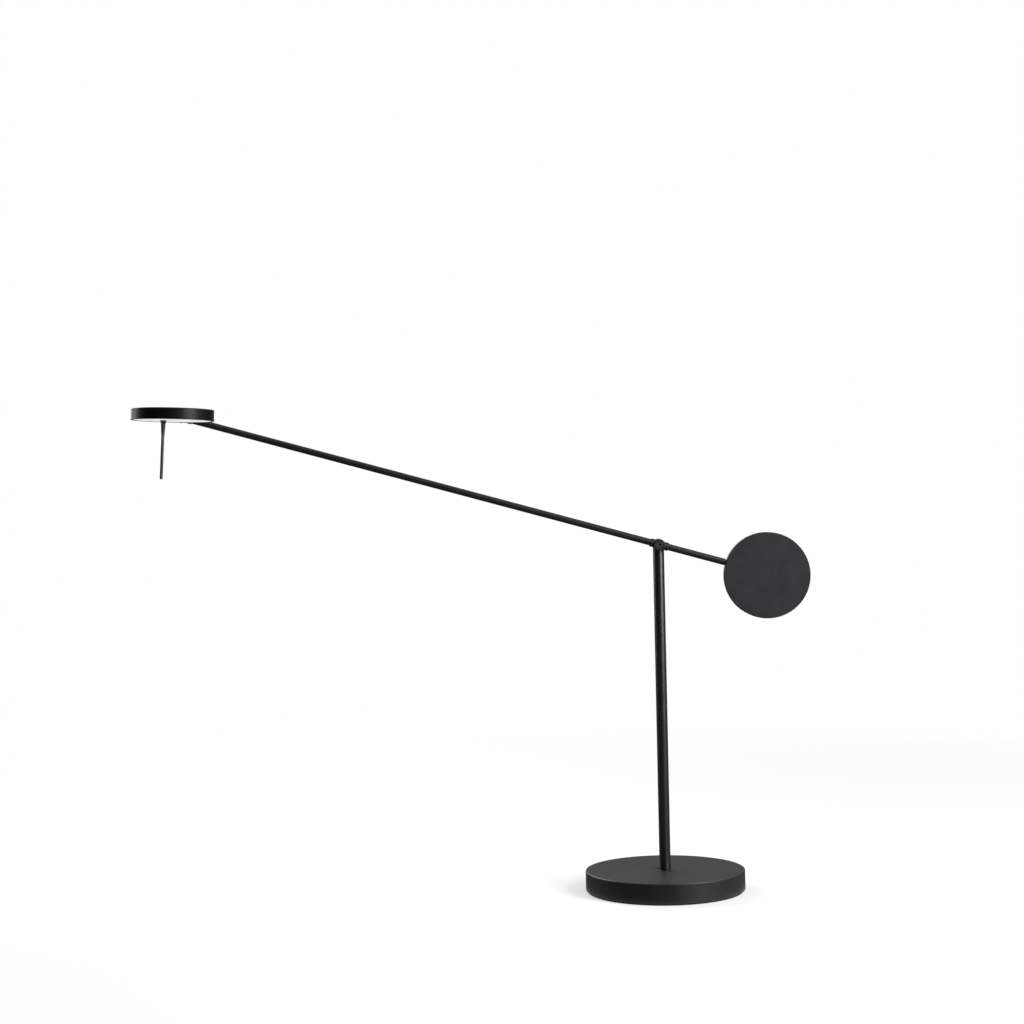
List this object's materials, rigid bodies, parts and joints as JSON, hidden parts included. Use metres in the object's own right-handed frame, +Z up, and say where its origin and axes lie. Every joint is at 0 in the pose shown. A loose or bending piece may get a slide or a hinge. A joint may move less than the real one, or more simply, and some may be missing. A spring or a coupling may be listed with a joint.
{
  "type": "counterweight balance desk lamp",
  "caption": "Desk lamp with a round base, a swivelling column and a balanced arm that carries a flat disc head and a disc counterweight.",
  "frame": {"origin": "centre of the foot pad's underside, on the column's axis, at table level", "axes": "+Z up, +X from the column towards the counterweight, so the head is at -X; the head hangs in front of the arm, towards -Y; the cord gland is at the back, +Y"},
  "size_m": [0.7502, 0.2023, 0.5541],
  "materials": {
    "black_powder_coat": "satin",
    "black_aluminium": "satin",
    "blackened_steel": "satin",
    "zinc_steel": "satin",
    "ballast_iron": "matte",
    "foot_rubber": "matte",
    "slip_washer": "satin",
    "black_plastic": "satin",
    "driver_board_green": "satin",
    "component_black": "gloss",
    "board_white": "satin",
    "led_yellow": "gloss",
    "reflector_white": "satin",
    "opal_diffuser": "satin",
    "post_brass": "satin",
    "lead_sheath": "matte"
  },
  "bodies": {
    "base": {"base_cover": "black_powder_coat", "ballast_disc": "ballast_iron", "base_plate": "zinc_steel", "foot_pad": "foot_rubber", "base_screws": "blackened_steel", "cord_gland": "black_plastic", "gland_nut": "black_plastic", "driver_case": "black_plastic", "driver_board": "driver_board_green", "driver_components": "component_black", "lead_in_base": "lead_sheath", "swivel_housing": "zinc_steel", "swivel_stop_pin": "zinc_steel", "swivel_washer": "slip_washer"},
    "column": {"column_spindle": "blackened_steel", "stop_washer": "zinc_steel", "swivel_spring_washer": "zinc_steel", "swivel_nut": "zinc_steel", "column_tube": "black_powder_coat", "column_head": "black_powder_coat", "tube_set_screws": "blackened_steel", "pivot_bolt": "blackened_steel", "pivot_washer": "slip_washer", "pivot_spring_washer": "zinc_steel", "pivot_cap_nut": "blackened_steel", "lead_in_column": "lead_sheath"},
    "arm": {"arm_hub": "black_powder_coat", "arm_tube": "black_powder_coat", "rear_rod": "black_powder_coat", "arm_set_screws": "blackened_steel", "counterweight": "black_powder_coat", "counterweight_set_screw": "blackened_steel", "head_knuckle": "black_powder_coat", "lead_in_arm": "lead_sheath"},
    "head": {"head_housing": "black_aluminium", "head_stub": "black_aluminium", "head_washer": "slip_washer", "head_spring_washer": "zinc_steel", "head_pivot_screw": "blackened_steel", "led_board": "board_white", "led_chips": "led_yellow", "led_board_screws": "zinc_steel", "reflector_ring": "reflector_white", "diffuser": "opal_diffuser", "handle_post": "post_brass", "handle_collar": "black_plastic", "aiming_handle": "blackened_steel", "lead_in_head": "lead_sheath"}
  },
  "joints": [
    {"name": "column_swivel", "type": "hinge", "parent": "base", "child": "column", "pos_m": [0, 0, 0], "axis": [0, 0, 1], "range_deg": [-160, 160]},
    {"name": "arm_tilt", "type": "hinge", "parent": "column", "child": "arm", "pos_m": [0, -0.01315, 0.3916], "axis": [0, 1, 0], "range_deg": [-44, 46]},
    {"name": "head_tilt", "type": "hinge", "parent": "arm", "child": "head", "pos_m": [-0.53573, -0.01315, 0.54623], "axis": [0, 1, 0], "range_deg": [-110, 110]}
  ]
}
